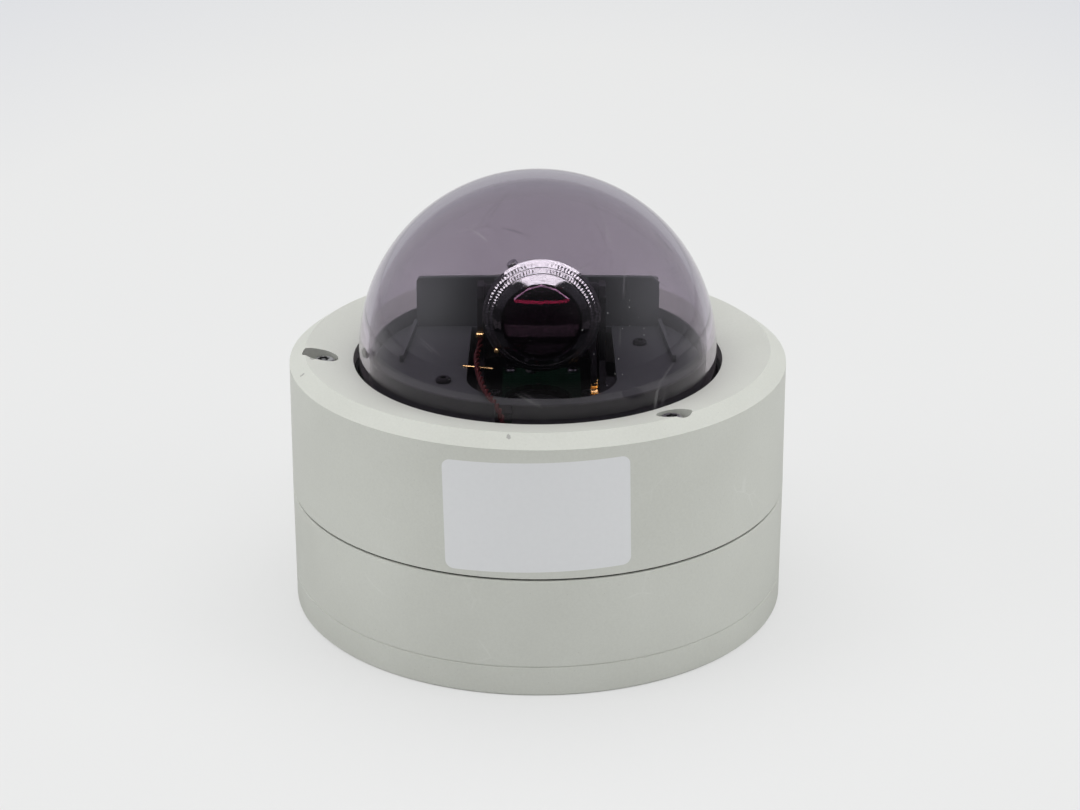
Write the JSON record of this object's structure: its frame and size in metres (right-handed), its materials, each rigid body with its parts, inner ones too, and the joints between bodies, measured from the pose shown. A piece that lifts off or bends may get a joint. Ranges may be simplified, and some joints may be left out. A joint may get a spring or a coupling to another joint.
{
  "type": "ptz camera",
  "caption": "Round surface-mount vandal dome camera with a motorised pan and tilt head, a smoked dome, a slotted dark liner and a varifocal lens with zoom and focus rings.",
  "frame": {"origin": "centre of the mounting face of the mounting plate", "axes": "+Z from the mounting face through the dome, along the pan axis; -Y the way the lens looks in the rest position"},
  "size_m": [0.16, 0.16, 0.1405],
  "materials": {
    "painted_body": "fine powder coat, satin, pale greenish grey",
    "painted_plug": "fine powder coat, satin",
    "dark_rubber": "matte black",
    "steel_screws": "zinc plated",
    "security_screws": "stainless, slightly dull",
    "nylon_washer": "matte black nylon",
    "smoked_dome": "transparent, smoked purple grey, polished",
    "black_steel": "black, satin",
    "chassis_metal": "satin",
    "circuit_board": "green solder mask",
    "terminal_plastic": "green",
    "motor_can": "plated",
    "brass_parts": "machined",
    "white_gear_plastic": "acetal, natural white",
    "black_plastic": "black",
    "liner_plastic": "black, fine grain",
    "lens_black": "gloss black",
    "knurled_steel": "polished",
    "lens_glass": "coated, magenta reflections",
    "sensor_face": "dark, glossy",
    "red_wire": "red insulation"
  },
  "bodies": {
    "camera_body": {"mounting_plate": "painted_body", "back_box": "painted_body", "cable_gland": "dark_rubber", "conduit_plug": "painted_plug", "box_screws": "steel_screws", "main_board": "circuit_board", "board_screws": "steel_screws", "terminal_block": "terminal_plastic", "cover_gasket": "dark_rubber", "top_cover": "painted_body", "cover_screws": "security_screws", "cover_screw_washers": "nylon_washer", "dome_bubble": "smoked_dome", "dome_gasket": "dark_rubber", "dome_clamp_ring": "black_steel", "clamp_screws": "steel_screws", "chassis_plate": "chassis_metal", "chassis_screws": "steel_screws", "pan_spindle": "steel_screws", "spindle_nut": "steel_screws", "spindle_clip": "steel_screws", "pan_motor": "motor_can", "pan_motor_screws": "steel_screws"},
    "pan_unit": {"turntable": "chassis_metal", "pan_bearing": "brass_parts", "pan_gear": "white_gear_plastic", "gear_screws": "steel_screws", "yoke": "black_steel", "yoke_screws": "steel_screws", "tilt_bushes": "black_plastic", "tilt_motor": "motor_can", "tilt_motor_screws": "steel_screws", "pan_board": "circuit_board", "pan_board_screws": "steel_screws", "wire_connector": "black_plastic", "liner": "liner_plastic", "liner_screws": "black_steel", "wire_guide": "brass_parts", "wire_terminal": "brass_parts", "iris_wires": "red_wire"},
    "pan_drive": {"pan_motor_shaft": "steel_screws", "pan_pinion": "brass_parts"},
    "tilt_drive": {"tilt_motor_shaft": "steel_screws", "tilt_pinion": "brass_parts"},
    "tilt_head": {"camera_frame": "chassis_metal", "tilt_gear": "black_plastic", "tilt_spacer": "black_plastic", "sensor_board": "circuit_board", "image_sensor": "sensor_face", "sensor_housing": "black_plastic", "housing_screws": "steel_screws", "lens_barrel": "lens_black", "iris_housing": "lens_black", "inner_element": "lens_glass"},
    "zoom_group": {"zoom_ring": "lens_black", "zoom_lock_screw": "knurled_steel"},
    "focus_group": {"focus_ring": "lens_black", "focus_lock_screw": "knurled_steel", "lens_bezel": "lens_black", "front_element": "lens_glass"}
  },
  "joints": [
    {"name": "pan", "type": "hinge", "parent": "camera_body", "child": "pan_unit", "pos_m": [0, 0, 0.06], "axis": [0, 0, 1], "range_deg": [-175, 175]},
    {"name": "pan_pinion_spin", "type": "hinge", "parent": "camera_body", "child": "pan_drive", "pos_m": [0, 0.0337, 0.0565], "axis": [0, 0, 1], "range_deg": [-1060, 1060]},
    {"name": "tilt", "type": "hinge", "parent": "pan_unit", "child": "tilt_head", "pos_m": [0.0012, 0, 0.1], "axis": [-1, 0, 0], "range_deg": [0, 90]},
    {"name": "tilt_pinion_spin", "type": "hinge", "parent": "pan_unit", "child": "tilt_drive", "pos_m": [0.0012, -0.01172, 0.07098], "axis": [-1, 0, 0], "range_deg": [-505, 10]},
    {"name": "zoom", "type": "hinge", "parent": "tilt_head", "child": "zoom_group", "pos_m": [0.0012, -0.0168, 0.103], "axis": [0, -1, 0], "range_deg": [-45, 45]},
    {"name": "focus", "type": "hinge", "parent": "tilt_head", "child": "focus_group", "pos_m": [0.0012, -0.0256, 0.103], "axis": [0, -1, 0], "range_deg": [-60, 60]}
  ],
  "couplings": [
    {"joint": "pan_pinion_spin", "follows": "pan", "ratio": -6},
    {"joint": "tilt_pinion_spin", "follows": "tilt", "ratio": -5.5}
  ]
}
